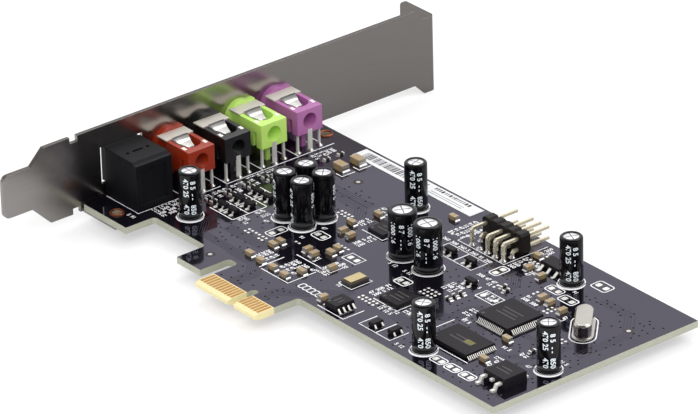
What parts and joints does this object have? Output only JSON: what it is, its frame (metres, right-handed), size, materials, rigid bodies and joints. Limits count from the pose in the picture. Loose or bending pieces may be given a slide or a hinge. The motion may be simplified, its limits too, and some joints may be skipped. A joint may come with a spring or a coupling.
{
  "type": "sound card",
  "caption": "Black low-height sound card with a full-height slot bracket, coloured audio jacks, an optical port, tall capacitors and a gold edge tab.",
  "frame": {"origin": "middle of the key notch, on the contact edge, on the component face of the board", "axes": "+X along the board away from the bracket, +Y from the contact edge towards the screw flange, +Z out of the component face"},
  "size_m": [0.1395, 0.12, 0.0211],
  "materials": {
    "solder_mask": "glossy black lacquer on glass-fibre board",
    "gold": "bright gold plating",
    "bracket_steel": "nickel-plated sheet, soft sheen",
    "tin": "tinned metal",
    "paper": "white coated paper",
    "black_plastic": "fine-grained moulding",
    "orange_plastic": "moulded plastic",
    "lime_plastic": "moulded plastic",
    "purple_plastic": "moulded plastic",
    "emitter_resin": "dark clear resin",
    "sleeve_film": "shiny shrink film over a drawn aluminium can",
    "crystal_nickel": "satin nickel can",
    "chip_resin": "fine-grained moulded resin",
    "oscillator_ceramic": "dark ceramic",
    "tan_ceramic": "fired ceramic with tinned ends",
    "resistor_ceramic": "dark glaze with tinned ends"
  },
  "bodies": {
    "root": {"amplifier_body": "chip_resin", "amplifier_leads": "tin", "audio_chip_body": "chip_resin", "audio_chip_leads": "tin", "bracket_eyelets": "tin", "bracket_lugs": "bracket_steel", "bracket_plate": "bracket_steel", "bracket_screw_flange": "bracket_steel", "bridge_chip": "chip_resin", "capacitor_01": "sleeve_film", "capacitor_02": "sleeve_film", "capacitor_03": "sleeve_film", "capacitor_04": "sleeve_film", "capacitor_05": "sleeve_film", "capacitor_06": "sleeve_film", "capacitor_07": "sleeve_film", "capacitor_08": "sleeve_film", "capacitor_09": "sleeve_film", "capacitor_10": "sleeve_film", "capacitor_11": "sleeve_film", "capacitor_leads": "tin", "chip_capacitors": "tan_ceramic", "chip_resistors": "resistor_ceramic", "converter_chip": "chip_resin", "crystal_can": "crystal_nickel", "crystal_leads": "tin", "edge_contacts": "gold", "header_block": "black_plastic", "header_pins": "gold", "jack_black_body": "black_plastic", "jack_black_pins": "tin", "jack_black_spring": "tin", "jack_lime_body": "lime_plastic", "jack_lime_pins": "tin", "jack_lime_spring": "tin", "jack_orange_body": "orange_plastic", "jack_orange_pins": "tin", "jack_orange_spring": "tin", "jack_purple_body": "purple_plastic", "jack_purple_pins": "tin", "jack_purple_spring": "tin", "label": "paper", "memory_chip_body": "chip_resin", "memory_chip_leads": "tin", "optical_emitter": "emitter_resin", "optical_housing": "black_plastic", "optical_leads": "tin", "oscillator_base": "oscillator_ceramic", "oscillator_lid": "gold", "pcb": "solder_mask", "regulator_body": "chip_resin", "regulator_leads": "tin", "small_regulator_body": "chip_resin", "small_regulator_leads": "tin", "transistor_leads": "tin", "transistors": "chip_resin"}
  },
  "joints": []
}
